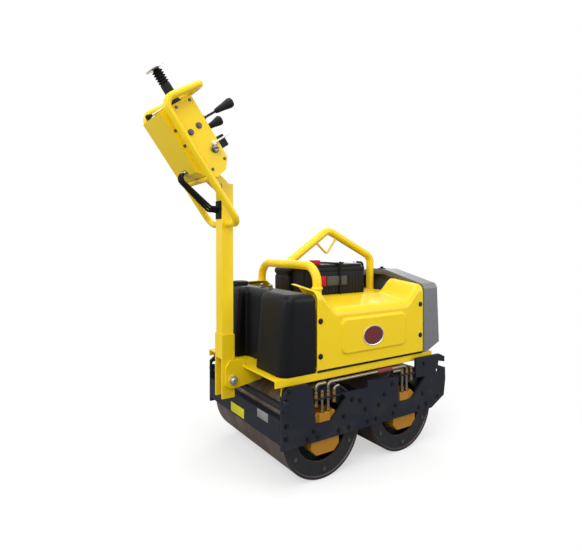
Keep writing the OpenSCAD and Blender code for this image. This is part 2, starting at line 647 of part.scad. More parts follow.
place() rear_drum();
place() front_drum();
place() side_plate_right();
place() side_plate_left();
place() rear_cross_beam();
place() front_cross_beam();
place() mid_cross_tube();
place() rear_carrier_right();
place() rear_carrier_left();
place() front_carrier_right();
place() front_carrier_left();
place() scraper_blades();
place() spray_bars();
place() rubber_mounts();
place() hose_brackets();
place() rear_hoses();
place() front_hoses();
place() hose_sleeve();
place() upper_frame();
place() pivot_pin();
place() side_panel_right();
place() side_panel_left();
place() deck();
place() engine_block();
place() front_hood();
place() hood_hinges();
place() water_tank();
place() tank_caps();
place() lifting_frame();
place() battery();
place() battery_clamp();
place() air_cleaner();
place() handle_column();
place() handle_loop();
place() control_box();
place() stop_plunger();
place() plunger_disc();
place() travel_lever();
place() vibration_lever();
place() valve_block();
place() box_buttons();
place() control_cables();
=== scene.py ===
"""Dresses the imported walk-behind double drum roller: finishes for its solids, and modelled pieces on them."""
import json
import math

import bmesh
import bpy
import numpy as np
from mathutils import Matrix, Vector


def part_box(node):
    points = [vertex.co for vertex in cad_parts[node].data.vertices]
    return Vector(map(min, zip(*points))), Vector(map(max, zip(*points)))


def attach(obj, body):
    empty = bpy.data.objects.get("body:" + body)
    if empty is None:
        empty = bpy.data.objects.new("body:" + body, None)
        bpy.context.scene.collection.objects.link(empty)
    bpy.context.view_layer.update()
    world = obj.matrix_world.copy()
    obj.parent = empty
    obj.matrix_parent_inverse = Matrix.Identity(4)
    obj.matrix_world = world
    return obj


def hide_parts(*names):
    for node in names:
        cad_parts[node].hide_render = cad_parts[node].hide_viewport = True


bl_info = {
    "name": "Walk-behind roller dressing",
    "version": (1, 0, 0),
    "blender": (4, 5, 0),
    "location": "View3D > Sidebar > Roller",
    "description": "Finishes and detail pieces for a walk-behind double drum roller",
    "category": "Object",
}

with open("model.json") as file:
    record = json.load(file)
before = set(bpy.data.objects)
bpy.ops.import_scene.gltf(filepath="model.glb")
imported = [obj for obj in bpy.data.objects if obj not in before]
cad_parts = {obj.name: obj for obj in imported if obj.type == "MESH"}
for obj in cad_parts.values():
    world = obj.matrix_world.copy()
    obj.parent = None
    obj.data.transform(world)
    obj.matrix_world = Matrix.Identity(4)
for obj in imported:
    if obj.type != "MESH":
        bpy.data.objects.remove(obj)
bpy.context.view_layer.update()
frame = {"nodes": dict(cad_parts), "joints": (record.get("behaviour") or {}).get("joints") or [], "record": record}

MM = 0.001
# Joints in metres, the point midway between the drums, and each node's slot and body
JOINTS = {j["name"]: j for j in frame["joints"]}
REAR_AXLE, FRONT_AXLE, PIVOT = (
    np.array(JOINTS[n]["pos_m"]) for n in ("rear_drum_spin", "front_drum_spin", "handle_fold"))
MID = (REAR_AXLE[0] + FRONT_AXLE[0]) / 2
SLOT_OF = {s["node"]: s["material_slot"] for s in frame["record"]["subparts"]}
BODY_OF = {n: body for body, nodes in frame["record"]["behaviour"]["bodies"].items() for n in nodes}


def node_box(node):
    """Lowest and highest corner of a node, in machine millimetres."""
    lo, hi = (np.array(p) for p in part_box(node))
    return (lo - [MID, 0, 0]) / MM, (hi - [MID, 0, 0]) / MM


# Places taken from the solids, in millimetres like the sizes below, with x from midway between the drums
AXLE_X = (FRONT_AXLE[0] - REAR_AXLE[0]) / 2 / MM
DRUM_R = REAR_AXLE[2] / MM
DRUM_HALF = node_box("rear_drum")[1][1]
PLATE_OUT = node_box("side_plate_left")[1][1]
PANEL_LO, PANEL_HI = node_box("side_panel_right")
TANK_LO, TANK_HI = node_box("water_tank")
PANEL_Y = TANK_HI[1]
DECK_LO, DECK_HI = node_box("deck")
BATTERY_LO, BATTERY_HI = node_box("battery")
HOOD_LO, HOOD_HI = node_box("front_hood")
BEAM_REAR = node_box("rear_cross_beam")[0][0]
LOOP_LO, LOOP_HI = node_box("handle_loop")

# Side panels: height of the shoulder at the raised ends and over the saddle, and the raised field on the wall
PANEL_TOP, PANEL_SADDLE, PANEL_ROUND = 800.0, 724.0, 40.0
RAMP_REAR, RAMP_FRONT, RAMP_FRONT_MORE = -168.0, 262.0, 14.0
FIELD_MID, FIELD_HALF = (54.5, 594.0), (170.0, 46.0)
FIELD_ROUND, FIELD_EDGE, FIELD_H = 36.0, 11.0, 8.0
SHEET = 3.5

# Water tank: its rear wall's lean, the turn at its foot, and depth and half width of the handle's recess
TANK_LEAN, TANK_FOOT, WELL_DEPTH, WELL_HALF = 30.0, 8.0, 70.0, 100.0

# Lifting tubes
LIFT_R, COLLAR_Z = 20.0, 806.5
HOOP_X, HOOP_Y, HOOP_Z, HOOP_BEND = -212.0, PANEL_Y - 86, 902.0, 80.0
APEX, ARCH_X, ARCH_Z, ARCH_BEND = (38, 0, 1072), 336.0, 930.0, 50.0
EYE, EYE_R, EYE_BEND = ((-46, 0, 1016), (32, 0, 950), (104, 0, 1042)), 6.0, 14.0

# Handle: rails, the grip's risers, the column's section, and the control box along and out from the rails
LOOP_R, LOOP_BEND, RAIL, RISER = 15.0, 42.0, 562.0, 190.0
LOOP_Z, LOOP_HALF = LOOP_LO[2] + LOOP_R, LOOP_HI[1] - LOOP_R - 0.1
LEAN, GRIP_RISE = math.radians(35), math.radians(31)
COL_X, COL_A, COL_B = (PIVOT[0] - MID) / MM - 15.0, 54.0, 64.0
BOX_OUT, BOX_UP, BOX_HALF = (-28.0, 128.0), (215.0, 530.0), 112.0
PLUNGER_OUT, PLUNGER_TOP = 107.0, 686.0
LEVERS = ("travel_lever", 430, 50, 186), ("vibration_lever", 388, -50, 150)  # up, right and height
BUTTONS, KEY, VALVE_LEVER = ((408, 42), (415, 88)), (305, 96), (326, 104)  # right side, up and out

# Control cables: size, steps across and up, and how far they run straight out of the box and into the column
CABLE_R, CABLE_BEND, CABLE_STEP, CABLE_RISE, CABLE_OUT, CABLE_IN = 5.5, 24.0, 18.0, 8.0, 40.0, 45.0
CABLE_UP, CABLE_Z = BOX_UP[0] + 66, LOOP_Z + 56

# Hydraulic lines: the bulkhead's height, then each line's x, lower and upper end, and reach along x
LINE_Y, LINE_R, LINE_BEND = -341.0, 7.0, 20.0
LINES = (
    ("rear", 357, ((-292, 322, 414, 50), (-260, 293, 388, 0), (-228, 293, 414, 288), (-196, 326, 392, 26))),
    ("front", 379, ((220, 293, 398, -62), (251, 293, 414, -101), (282, 340, 408, 0))))

# Bolt heads on each side plate and side panel, as x and z, and on the control box, up and out
PLATE_BOLTS = np.array([
    (-443, 276), (-445, 226), (-339, 200), (-289, 198), (-308, 225), (-147, 256), (-176, 201), (-120, 202),
    (-100, 320), (-54, 307), (-21, 262), (-9, 202), (42, 204), (59, 265), (97, 307), (147, 346), (154, 208),
    (170, 240), (357, 263), (384, 208), (368, 410), (-432, 410), (330, 200), (470, 230)], float)
PANEL_BOLTS = (-258, 673), (-258, 524), (363, 701), (363, 548)
BOX_SCREWS = (240, 40), (250, 112), (442, -12), (375, -12), (516, 45), (516, 112)
DRUM_BOLTS, DRUM_BOLT_RING, DRUM_BOLT_TURN, DRUM_BOLT_IN = 6, 166.0, 33.0, 7.0

# Height of the lids of battery and air cleaner, places as x and z, and the badge's half height and length
LID_H = 34.0
BOSS, BADGE, BADGE_SIZE = (-448, 350), (39, 584), (46, 65, 1)
# The beam's plates as y, z, height, edge and finish
BEAM_PLATES = (("beam_plate", (-251, -161), (262, 298), 1.6, 0.7, "plate_metal"),
               ("beam_sticker", (-37, 95), (208, 252), 0.6, 0.3, "lime"))

# Stage, in metres: sky light on the machine, camera, floor, and lamps as name, place, size and power
FILL = 0.46
CAMERA, CAMERA_YAW, CAMERA_PITCH = (-1.406 + MID, -1.833, 0.995), math.radians(56.93), math.radians(-0.71)
CAMERA_LENS, CAMERA_SHIFT = 27.76, (0.007, -0.043)
FLOOR_HALF, FLOOR_Z = 14, -0.0005
LAMP_AIM = Vector((0, 0, 0.6))
LAMPS = (("key", (-3.2, -2.6, 3.6), 2.2, 104), ("side", (2.4, -3.6, 2.2), 2.4, 62),
         ("back", (2.5, 3.2, 3.0), 2.5, 50), ("top", (-0.2, -0.5, 4.4), 2.6, 70),
         ("rear", (-3.4, 0.9, 1.9), 1.4, 34))


def linear(r, g, b):
    """An 8-bit screen colour as the linear values that a shader takes."""
    c = np.array([r, g, b]) / 255
    return tuple(np.where(c <= 0.04045, c / 12.92, ((c + 0.055) / 1.055) ** 2.4)) + (1.0,)


def lean_point(up, right, out):
    """A point of the leaning handle: up along the rails, across to the right, out from the rails."""
    s, c = math.sin(LEAN), math.cos(LEAN)
    up, right, out = np.broadcast_arrays(*(np.asarray(v, float) for v in (up, right, out)))
    return np.stack([COL_X - up * s + out * c, -right, LOOP_Z + up * c + out * s], -1)


# The ways along the rails, across to the right, and out from the rails
ALONG, ACROSS, OUT = (lean_point(*e) - lean_point(0, 0, 0) for e in np.eye(3))


class RollerLook(bpy.types.PropertyGroup):
    """Sizes and colours of the dressing."""
    yellow: bpy.props.FloatVectorProperty(
        name="Yellow paint", description="Body and handle", size=4, subtype="COLOR",
        default=linear(246, 210, 16))
    plate: bpy.props.FloatVectorProperty(
        name="Frame paint", description="Side plates and beams", size=4, subtype="COLOR",
        default=linear(31, 35, 44))
    hood: bpy.props.FloatVectorProperty(
        name="Hood paint", description="Hammered grey", size=4, subtype="COLOR",
        default=linear(120, 121, 124))
    amber: bpy.props.FloatVectorProperty(
        name="Carrier paint", description="Drum carriers", size=4, subtype="COLOR",
        default=linear(172, 118, 14))
    tank_edge: bpy.props.FloatProperty(
        name="Tank edge radius", description="Rounding of the moulded tank", default=34 * MM, unit="LENGTH")
    hood_edge: bpy.props.FloatProperty(
        name="Hood edge radius", description="Rounding of the hood", default=12 * MM, unit="LENGTH")
    plate_edge: bpy.props.FloatProperty(
        name="Plate edge", description="Broken edge of cut steel plates", default=1.6 * MM, unit="LENGTH")
    bolt_r: bpy.props.FloatProperty(
        name="Bolt head radius", description="Hex heads on the side plates", default=8 * MM, unit="LENGTH")
    ramp: bpy.props.FloatProperty(
        name="Saddle ramp", description="Length of the panel's ramps", default=92 * MM, unit="LENGTH")


def look():
    return bpy.context.scene.roller_look


# Finishes


class Value:
    """A socket of a finish; arithmetic on it adds Math nodes."""

    def __init__(self, finish, socket):
        self.finish, self.socket = finish, socket

    def math(self, operation, *others):
        return self.finish.node("ShaderNodeMath", {"operation": operation}, dict(enumerate((self, *others))))

    def __add__(self, o):
        return self.math("ADD", o)

    def __mul__(self, o):
        return self.math("MULTIPLY", o)

    def __rsub__(self, o):
        return self.finish.node("ShaderNodeMath", {"operation": "SUBTRACT"}, {0: o, 1: self})

    __radd__, __rmul__ = __add__, __mul__

    def step(self, low, high):
        """0 below low and 1 above high, smooth between."""
        return self.finish.node("ShaderNodeMapRange", {"interpolation_type": "SMOOTHSTEP"},
                                {"Value": self, "From Min": low, "From Max": high})


class Nodes:
    """A node tree that grows by one method."""

    def __init__(self, tree):
        self.tree = tree

    def node(self, kind, settings=None, inputs=None, out=0):
        """One node: its settings first, then its inputs, then one output."""
        n = self.tree.nodes.new(kind)
        for key, value in (settings or {}).items():
            setattr(n, key, value)
        for key, value in (inputs or {}).items():
            self.feed(n.inputs[key], value)
        return Value(self, n.outputs[out])

    def feed(self, socket, value):
        if isinstance(value, Value):
            self.tree.links.new(value.socket, socket)
        else:
            socket.default_value = value


class Finish(Nodes):
    """A material built from its node tree."""

    def __init__(self, name):
        self.mat = bpy.data.materials.new(name)
        self.mat.use_nodes = True
        super().__init__(self.mat.node_tree)
        self.shader = self.tree.nodes["Principled BSDF"]
        self.pos = self.node("ShaderNodeTexCoord", out="Object")

    def set(self, **values):
        for key, value in values.items():
            self.feed(self.shader.inputs[key.replace("_", " ")], value)

    def scaled(self, x, y, z):
        return self.node("ShaderNodeMapping", {}, {"Vector": self.pos, "Scale": (x, y, z)})

    def noise(self, scale, detail=4.0, rough=0.55, at=None):
        return self.node("ShaderNodeTexNoise", {},
                         {"Vector": at or self.pos, "Scale": scale, "Detail": detail, "Roughness": rough})

    def cells(self, scale):
        return self.node("ShaderNodeTexVoronoi", {"feature": "SMOOTH_F1"},
                         {"Vector": self.pos, "Scale": scale, "Smoothness": 0.6})

    def axis(self, vector, i):
        return self.node("ShaderNodeSeparateXYZ", {}, {"Vector": vector}, out=i)

    def mix(self, factor, a, b):
        return self.node("ShaderNodeMix", {"data_type": "RGBA"}, {0: factor, 6: a, 7: b}, out=2)

    def bump(self, height, strength, distance):
        """Sets the bump, which ends a finish, and gives its material."""
        self.feed(self.shader.inputs["Normal"], self.node(
            "ShaderNodeBump", {}, {"Height": height, "Strength": strength, "Distance": distance}))
        return self.mat


def shade(colour, k):
    return tuple(c * k for c in colour[:3]) + (1.0,)


DUST, CHIPPED = linear(150, 138, 120), linear(120, 116, 110)


def paint(name, colour, rough=0.32, coat=0.12, peel=0.003, dusty=0.4, worn=0.12, gleam=0.3):
    """Sprayed paint: broad colour drift, fine scuffs, a few small chips, a dusty film that thickens towards
    the ground, and orange peel."""
    f = Finish(name)
    drift = f.noise(4.0, 5.0)
    scuff = f.noise(60.0, 6.0, 0.7).step(0.56, 0.74)
    low = 1 - f.axis(f.pos, 2).step(0.02, 0.42)
    film = f.noise(9.0, 6.0).step(0.42, 0.72) * low * dusty
    chips = f.noise(150.0, 3.0, 0.5).step(0.66, 0.70) * f.noise(14.0, 3.0).step(0.52, 0.66) * worn
    base = f.mix(drift * 0.28, colour, shade(colour, 0.80))
    f.set(Base_Color=f.mix(chips, f.mix(film, base, DUST), CHIPPED),
          Roughness=rough + drift * 0.10 + scuff * 0.08 + film * 0.4,
          Coat_Weight=coat, Coat_Roughness=0.12, Specular_IOR_Level=gleam)
    return f.bump(f.noise(340.0, 2.0), peel, 0.0006)


def hammered(name, colour):
    """Hammered paint: dimpled cells, paler in the dimples."""
    f = Finish(name)
    cell = f.cells(230.0)
    drift = f.noise(5.0)
    base = f.mix(cell * 0.9, shade(colour, 1.22), shade(colour, 0.72))
    f.set(Base_Color=f.mix(drift * 0.2, base, shade(colour, 0.85)), Roughness=0.34 + drift * 0.12,
          Metallic=0.3, Coat_Weight=0.1)
    return f.bump(cell, 0.35, 0.0012)


def rolled_steel(name, colour):
    """Drum: bare shell with fine scuffs that run round it, brown with rust bloom; faces that look along
    the axle are painted dark."""
    f = Finish(name)
    fine = f.noise(1.0, 4.0, 0.6, f.scaled(2.0, 150.0, 2.0))
    broad = f.noise(1.0, 3.0, 0.5, f.scaled(1.5, 16.0, 1.5))
    blot = f.noise(11.0, 6.0, 0.65)
    steel = f.mix(broad.step(0.35, 0.68), colour, linear(118, 106, 98))
    steel = f.mix(fine.step(0.50, 0.72) * 0.35, steel, linear(150, 143, 137))
    steel = f.mix(blot.step(0.48, 0.78) * 0.4, steel, linear(84, 66, 56))
    facing = f.axis(f.node("ShaderNodeNewGeometry", out="Normal"), 1)
    end = facing.math("ABSOLUTE").math("GREATER_THAN", 0.6)
    ends = f.mix(blot.step(0.45, 0.8) * 0.5, linear(30, 31, 35), linear(52, 48, 45))
    f.set(Base_Color=f.mix(end, steel, ends), Metallic=(1 - end) * 0.6,
          Roughness=0.38 + blot * 0.2 + end * 0.1, Specular_IOR_Level=0.3)
    return f.bump(fine + blot * 0.6, 0.10, 0.0012)


def moulded(name, colour, rough=0.5, grain=0.25, scale=420.0):
    """Moulded plastic or rubber: fine grain and a faint bloom."""
    f = Finish(name)
    bloom = f.noise(7.0, 5.0)
    fine = f.noise(scale, 3.0)
    pale = tuple(c * 1.4 + 0.002 for c in colour[:3]) + (1.0,)
    f.set(Base_Color=f.mix(bloom * 0.5, colour, pale), Roughness=rough + bloom * 0.16,
          Specular_IOR_Level=0.16)
    return f.bump(fine, grain, 0.0005)


def plated(name, colour, rough=0.28, metallic=0.9):
    """Plated or turned metal with fine scratches and dull patches."""
    f = Finish(name)
    patch = f.noise(26.0, 5.0)
    line = f.noise(1.0, 3.0, 0.5, f.scaled(900.0, 60.0, 900.0))
    f.set(Base_Color=f.mix(patch.step(0.45, 0.8) * 0.5, colour, shade(colour, 0.6)), Metallic=metallic,
          Roughness=rough + patch * 0.2)
    return f.bump(line, 0.06, 0.0004)


def cast(name, colour):
    """Painted casting: coarse skin."""
    f = Finish(name)
    skin = f.noise(160.0, 5.0)
    f.set(Base_Color=f.mix(f.noise(8.0) * 0.5, colour, shade(colour, 0.6)), Roughness=0.55, Metallic=0.1)
    return f.bump(skin, 0.35, 0.0015)


def woven(name, colour):
    """Braided hose cover: small diamonds."""
    f = Finish(name)
    braid = f.cells(480.0)
    f.set(Base_Color=f.mix(braid, shade(colour, 1.5), shade(colour, 0.55)), Roughness=0.62)
    return f.bump(braid, 0.5, 0.0008)


# Each finish: its maker, its colour in RollerLook or in 8 bits, and the maker's other values
MAKERS = {
    "yellow": (paint, "yellow"),
    "dark_paint": (paint, "plate", 0.42, 0.0, 0.03, 0.10, 0.25, 0.15),
    "grey_paint": (hammered, "hood"),
    "drum_steel": (rolled_steel, (98, 82, 74)),
    "amber_paint": (paint, "amber", 0.42, 0.0, 0.05, 0.35),
    "rubber": (moulded, (20, 20, 21), 0.62, 0.3, 300.0),
    "tank_plastic": (moulded, (8, 9, 12), 0.34, 0.12, 520.0),
    "black_plastic": (moulded, (19, 19, 21), 0.40, 0.16),
    "zinc": (plated, (132, 124, 110), 0.26, 1.0),
    "maroon_hose": (woven, (112, 34, 52)),
    "engine_iron": (cast, (70, 70, 74)),
    "bright_steel": (plated, (222, 222, 220), 0.2, 0.85),
    "red_plastic": (moulded, (168, 22, 24), 0.4, 0.15),
    "label_grey": (moulded, (74, 74, 72), 0.5, 0.05),
    "label_white": (moulded, (226, 226, 222), 0.45, 0.05),
    "brass": (plated, (134, 108, 66), 0.32),
    "enamel": (paint, (104, 30, 34), 0.24, 0.4, 0.01, 0.0, 0.0),
    "dull_bolt": (plated, (92, 90, 88), 0.42),
    "black_bolt": (paint, (13, 14, 17), 0.4, 0.0, 0.02, 0.0, 0.1, 0.2),
    "plate_metal": (plated, (158, 157, 158), 0.36, 0.6),
    "lime": (moulded, (196, 198, 34), 0.45, 0.05),
}
FINISHES = {}
OTHER_FINISH = {"spray_bars": "dark_paint"}


def finish(name):
    """The finish of a material slot or of a small part, made once."""
    if name not in FINISHES:
        maker, colour, *values = MAKERS[name]
        colour = tuple(getattr(look(), colour)) if isinstance(colour, str) else linear(*colour)
        FINISHES[name] = maker(name, colour, *values)
    return FINISHES[name]


# Surfaces: each is an array of points and an array of quads


def grid(points, wrap=False):
    """A surface from an array of points with two parameters: each quad joins neighbours along both."""
    p = np.asarray(points, float)
    rows, cols = p.shape[:2]
    i, j = np.meshgrid(np.arange(rows - 1), np.arange(cols if wrap else cols - 1), indexing="ij")
    k = (j + 1) % cols
    faces = np.stack([i * cols + j, i * cols + k, (i + 1) * cols + k, (i + 1) * cols + j], -1)
    return p.reshape(-1, 3), faces.reshape(-1, 4)


def stack(*surfaces):
    """Several surfaces as one."""
    start = np.cumsum([0] + [len(v) for v, _ in surfaces[:-1]])
    faces = [f + s for (_, f), s in zip(surfaces, start)]
    return np.concatenate([v for v, _ in surfaces]), np.concatenate(faces)


def copies(surface, points, normal=(0, 0, 1)):
    """One surface repeated at each point, with its own z turned to the normal."""
    v, f = surface
    p = np.atleast_2d(np.asarray(points, float))
    z = np.asarray(normal, float) / np.linalg.norm(normal)
    x = np.cross([0, 1, 0] if abs(z[1]) < 0.9 else [1, 0, 0], z)
    x /= np.linalg.norm(x)
    turned = np.einsum("ij,vj->vi", np.stack([x, np.cross(z, x), z], 1), v)
    faces = f[None] + (np.arange(len(p)) * len(v))[:, None, None]
    return (turned + p[:, None]).reshape(-1, 3), faces.reshape(-1, 4)


def both_sides(surface, points):
    """Copies that look outwards along y, at points on the machine's right and the same on its left."""
    p = np.asarray(points, float)
    return stack(copies(surface, p, [0, -1, 0]), copies(surface, p * [1, -1, 1], [0, 1, 0]))


def mirrored(surface):
    """The same surface on the machine's other side, with its faces turned round."""
    v, f = surface
    return v * [1, -1, 1], f[:, ::-1]


def lathe(profile, sides=32):
    """A profile of (radius, height) pairs turned about z."""
    p = np.asarray(profile, float)
    a = np.arange(sides) * 2 * np.pi / sides
    height = np.broadcast_to(p[:, None, 1], (len(p), sides))
    return grid(np.stack([p[:, None, 0] * np.cos(a), p[:, None, 0] * np.sin(a), height], -1), wrap=True)


def hex_head(r, h, washer=1.35):
    """A hex bolt head on a washer: twelve points a ring, with the radius of a hexagon where the head is."""
    a = np.arange(12) * np.pi / 6
    flat = r / np.cos((a + np.pi / 6) % (np.pi / 3) - np.pi / 6) * 0.9
    disc = np.full(12, r)
    rings = [(disc * 0, 0), (disc * washer, 0), (disc * washer, h * 0.18), (flat, h * 0.18), (flat, h * 0.86),
             (disc * 0.86, h), (disc * 0, h)]
    return grid(np.stack([np.stack([q * np.cos(a), q * np.sin(a), np.full(12, z)], -1) for q, z in rings]),
                wrap=True)


def rounded_box(lo, hi, r, k=4):
    """A box with round edges: each point of a box's faces is pulled to distance r from the inner box."""
    lo, hi = np.asarray(lo, float), np.asarray(hi, float)
    c, h = (lo + hi) / 2, (hi - lo) / 2
    r = min(r, h.min() * 0.98)
    bend = r * (1 - np.tan(np.linspace(np.pi / 4, 0, k)))
    faces = []
    for axis in range(3):
        a, b = (axis + 1) % 3, (axis + 2) % 3
        for side in (-1, 1):
            ta, tb = (np.concatenate([-h[i] + bend, h[i] - bend[::-1]]) for i in (a, b))
            q = np.zeros((len(ta), len(tb), 3))
            q[..., a], q[..., b], q[..., axis] = ta[:, None], tb[None, :], side * h[axis]
            if side < 0:
                q = q[::-1]
            core = np.clip(q, -(h - r), h - r)
            d = q - core
            faces.append(grid(c + core + r * d / np.linalg.norm(d, axis=-1, keepdims=True)))
    return stack(*faces)


def filleted(points, radius, steps=10):
    """A path through the points with each corner turned on an arc of the radius, as an array of points."""
    p = np.asarray(points, float)
    way = np.diff(p, axis=0)
    way /= np.linalg.norm(way, axis=1)[:, None]
    path = [p[:1]]
    for here, a, b in zip(p[1:-1], way[:-1], way[1:]):
        turn = math.acos(float(np.clip(a @ b, -1, 1)))
        inward = b - a * (a @ b)
        inward /= np.linalg.norm(inward)
        t = np.linspace(0, turn, steps)[:, None]
        start = here - a * radius * math.tan(turn / 2)
        path.append(start + radius * (np.sin(t) * a + (1 - np.cos(t)) * inward))
    return np.concatenate(path + [p[-1:]])


def sweep(path, radius, sides=20):
    """A round tube along a path: each ring stands square to the path there, and both ends are closed."""
    p = np.asarray(path, float)
    t = np.gradient(p, axis=0)
    t /= np.linalg.norm(t, axis=1)[:, None]
    ref = np.eye(3)[np.argmin(np.abs(t).max(0))]
    x = np.cross(ref, t)
    x /= np.linalg.norm(x, axis=1)[:, None]
    y = np.cross(t, x)
    a = np.arange(sides) * 2 * np.pi / sides
    rings = p[:, None] + radius * (np.cos(a)[:, None] * x[:, None] + np.sin(a)[:, None] * y[:, None])
    ends = [np.broadcast_to(q, (1, sides, 3)) for q in (p[0], p[-1])]
    return grid(np.concatenate([ends[0], rings, ends[1]]), wrap=True)


def unit(d):
    return d / np.linalg.norm(d, axis=-1, keepdims=True)


def round_outline(corners, radii, steps=9):
    """Closed outlines of square-cornered plans, one a row: each corner becomes a quarter turn of its own
    radius, from a radius before the corner on the way in to a radius after it on the way out."""
    c = np.asarray(corners, float)
    a, b = unit(c - np.roll(c, 1, axis=1))[:, :, None], unit(np.roll(c, -1, axis=1) - c)[:, :, None]
    r = np.asarray(radii, float)[:, :, None, None]
    t = np.linspace(0, np.pi / 2, steps)[:, None]
    arc = c[:, :, None] - a * r + r * (np.sin(t) * a + (1 - np.cos(t)) * b)
    return arc.reshape(len(c), -1, 2)


def at_heights(plans, heights):
    """Plans in x and y, one a row, each lifted to its own height."""
    return np.concatenate([plans, np.broadcast_to(heights[:, None, None], plans.shape[:2] + (1,))], -1)


def smooth(t):
    """0 below 0, 1 above 1, and 3t^2 - 2t^3 between."""
    t = np.clip(t, 0, 1)
    return t ** 2 * (3 - 2 * t)


def panel_skin(ramp):
    """The right panel's outside: x runs along it, and each section climbs the wall, turns a quarter circle at
    the shoulder and runs straight in to the deck. Shoulder and inner edge drop by smooth ramps to the saddle,
    and the wall is pushed out by a smooth step of the distance to a round-cornered field."""
    x = np.linspace(PANEL_LO[0], PANEL_HI[0], 260)[:, None]
    r, inner = PANEL_ROUND, -DECK_HI[1]
    # 1 at both raised ends, 0 over the saddle
    rise = smooth((RAMP_REAR - x) / ramp) + smooth((x - RAMP_FRONT) / (ramp + RAMP_FRONT_MORE))
    shoulder = PANEL_SADDLE + (PANEL_TOP - PANEL_SADDLE) * rise
    ridge = DECK_HI[2] + (PANEL_HI[2] - DECK_HI[2]) * rise
    z_wall = PANEL_LO[2] + (shoulder - r - PANEL_LO[2]) * np.linspace(0, 1, 90)[None]
    dx, dz = np.abs(x - FIELD_MID[0]) - FIELD_HALF[0], np.abs(z_wall - FIELD_MID[1]) - FIELD_HALF[1]
    outside = np.hypot(np.maximum(dx, 0), np.maximum(dz, 0)) + np.minimum(np.maximum(dx, dz), 0)
    y_wall = -PANEL_Y - FIELD_H * smooth((FIELD_ROUND - outside) / FIELD_EDGE)
    a = np.linspace(0, np.pi / 2, 14)[None, 1:]
    y_arc, z_arc = -PANEL_Y + r - r * np.cos(a) + 0 * x, shoulder - r + r * np.sin(a)
    t = np.linspace(0, 1, 26)[None, 1:]
    y_top, z_top = -PANEL_Y + r + (inner + PANEL_Y - r) * t + 0 * x, shoulder + (ridge - shoulder) * t
    y, z = np.concatenate([y_wall, y_arc, y_top], 1), np.concatenate([z_wall, z_arc, z_top], 1)
    v, f = grid(np.stack([np.broadcast_to(x, y.shape), y, z], -1))
    return v, f[:, ::-1]


def tank_wall(r):
    """The tank's wall from foot to top: round-cornered plans with a recess for the handle. Each is taken in
    by d, which follows a small quarter circle at the foot and one of radius r at the top. The rear wall leans
    forward."""
    lo, hi = TANK_LO, TANK_HI
    turn = np.linspace(0, np.pi / 2, 9)
    low, high = lo[2] + TANK_FOOT, hi[2] - r
    z = np.concatenate([lo[2] + TANK_FOOT * (1 - np.cos(turn[:-1])), np.linspace(low, high, 12),
                        high + r * np.sin(turn[1:])])
    d = np.concatenate([TANK_FOOT * (1 - np.sin(turn[:-1])), np.zeros(12), r * (1 - np.cos(turn[1:]))])
    rear = lo[0] + TANK_LEAN * (z - lo[2]) / (hi[2] - lo[2]) + d
    front, side = hi[0] - d, hi[1] - d
    well, well_y = lo[0] + WELL_DEPTH + d, WELL_HALF + d
    corners = [(front, -side), (front, side), (rear, side), (rear, well_y),
               (well, well_y), (well, -well_y), (rear, -well_y), (rear, -side)]
    outer, inner, tight = np.maximum(r + 10 - d, 4), 12 + d, np.maximum(12 - d / 3, 3)
    radii = np.stack([tight, tight, outer, outer * 0.6, inner, inner, outer * 0.6, outer], 1)
    plans = round_outline(np.stack([np.stack(c, 1) for c in corners], 1), radii)
    return grid(at_heights(plans, z), wrap=True)


def ribbed_cap(count=24, sides=96):
    """A screw cap: a turned profile whose radius swells by a cosine of the angle where it is gripped."""
    a = np.arange(sides) * 2 * np.pi / sides
    grip = 1 + 0.028 * np.cos(count * a)
    rings = [(0, 0, 0), (30, 0, 0), (38, 0.5, 0), (38, 2.5, 1), (38, 15, 1), (36, 18.6, 1),
             (33, 20, 0), (22, 20, 0), (21, 18.5, 0), (0, 18.5, 0)]
    radius = np.stack([q * (grip if gripped else np.ones(sides)) for q, _, gripped in rings])
    height = np.broadcast_to(np.array([h for _, h, _ in rings], float)[:, None], radius.shape)
    return grid(np.stack([radius * np.cos(a), radius * np.sin(a), height], -1), wrap=True)


def rim_strip():
    """The hood's turned-in rim: the outline of the hood's rear end, moved inwards by four depths."""
    eave, r, flat = PANEL_TOP + 4, 30.0, 60.0
    t = np.linspace(0, np.pi / 2, 9)
    corner = np.stack([-PANEL_Y + r - r * np.cos(t), eave - r + r * np.sin(t)], 1)
    half = np.concatenate([[[-PANEL_Y, PANEL_LO[2] + 2]], corner, [[-flat, HOOD_HI[2]]]])
    outline = np.concatenate([half, half[::-1] * [-1, 1]])
    way = unit(np.gradient(outline, axis=0))
    inward = np.stack([way[:, 1], -way[:, 0]], 1)
    depth, x = np.array([0.6, 4.0, 26.0, 30.0]), HOOD_LO[0] + np.array([6.0, 0.8, 0.8, 5.0])
    plans = outline[None] + depth[:, None, None] * inward[None]
    return grid(at_heights(plans, x)[..., [2, 0, 1]])


# Objects


def mesh_of(name, surface):
    """A mesh from a surface in machine millimetres."""
    v, f = surface
    mesh = bpy.data.meshes.new(name)
    mesh.from_pydata(v * MM + [MID, 0, 0], [], f.tolist())
    return mesh


def piece(name, surface, slot, replaces=(), sharp=40.0, material=None, body="chassis", closed=False):
    """A finished object from a surface: doubles are merged, open ends can be closed by flat faces, and
    normals point outwards."""
    mesh = mesh_of(name, surface)
    bm = bmesh.new()
    bm.from_mesh(mesh)
    bmesh.ops.remove_doubles(bm, verts=bm.verts, dist=2e-6)
    bmesh.ops.dissolve_degenerate(bm, edges=bm.edges, dist=1e-6)
    if closed:
        bmesh.ops.holes_fill(bm, edges=[e for e in bm.edges if e.is_boundary], sides=0)
    bmesh.ops.recalc_face_normals(bm, faces=bm.faces)
    bm.to_mesh(mesh)
    bm.free()
    return seat(name, mesh, slot, replaces, sharp, material, body)


